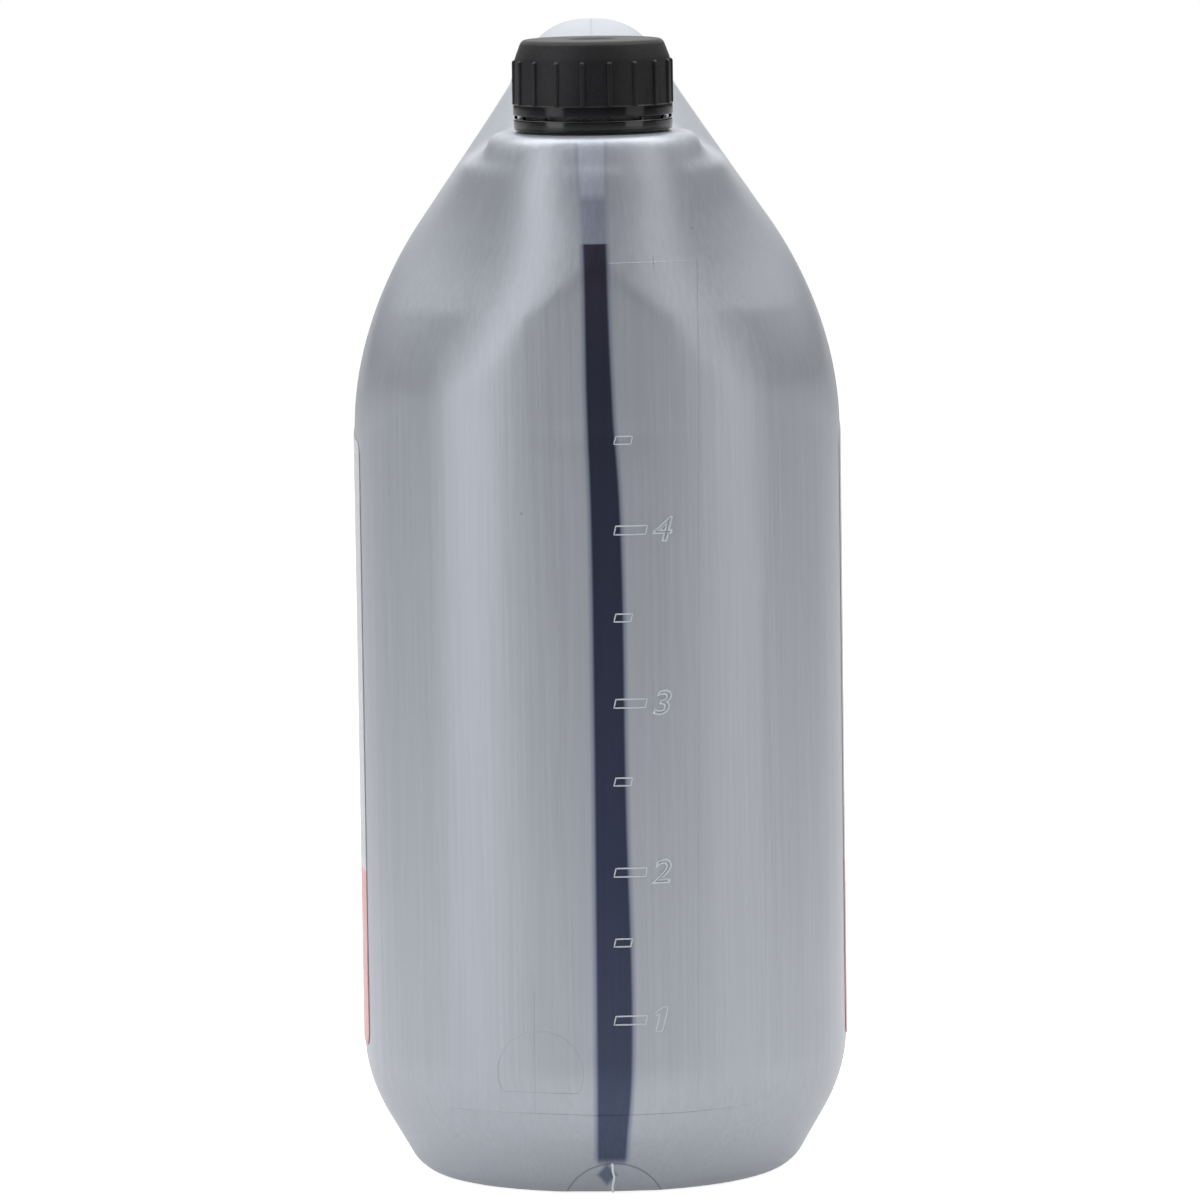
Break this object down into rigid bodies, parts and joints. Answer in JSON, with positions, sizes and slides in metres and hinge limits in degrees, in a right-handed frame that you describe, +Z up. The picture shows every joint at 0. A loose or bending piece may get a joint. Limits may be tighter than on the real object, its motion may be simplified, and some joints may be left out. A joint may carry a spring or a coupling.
{
  "type": "cutting fluid jug",
  "caption": "Tall narrow blown jug with a moulded-in handle, a clear view stripe with a litre scale, a ribbed screw cap and side labels, filled with dark fluid.",
  "frame": {"origin": "on the floor below the middle of the blown body", "axes": "+Z up, -Y towards the narrow front with the neck and the view stripe, +X towards the right wide face"},
  "size_m": [0.1302, 0.2074, 0.3015],
  "materials": {
    "jug_plastic": "silver-grey blown polyethylene, satin",
    "cap_plastic": "black polypropylene, fine grain on top and sides",
    "ring_plastic": "black polypropylene, smooth",
    "liner_foam": "white foamed polyethylene wad",
    "label_film": "thin printed film in pale grey and pale red",
    "fluid": "dark blue-black cutting fluid"
  },
  "bodies": {
    "jug": {"bottle": "jug_plastic", "tamper_ring": "ring_plastic", "left_label": "label_film", "right_label": "label_film", "cutting_fluid": "fluid"},
    "liner": {"cap_liner": "liner_foam"},
    "cap": {"screw_cap": "cap_plastic"}
  },
  "joints": [
    {"name": "cap_lift", "type": "slide", "parent": "jug", "child": "liner", "axis": [0, 0, 1], "range_m": [0, 0.0063]},
    {"name": "cap_turn", "type": "hinge", "parent": "liner", "child": "cap", "pos_m": [0, -0.068, 0.2895], "axis": [0, 0, 1], "range_deg": [0, 540]}
  ],
  "couplings": [
    {"joint": "cap_turn", "follows": "cap_lift", "rad_per_m": 1496}
  ]
}
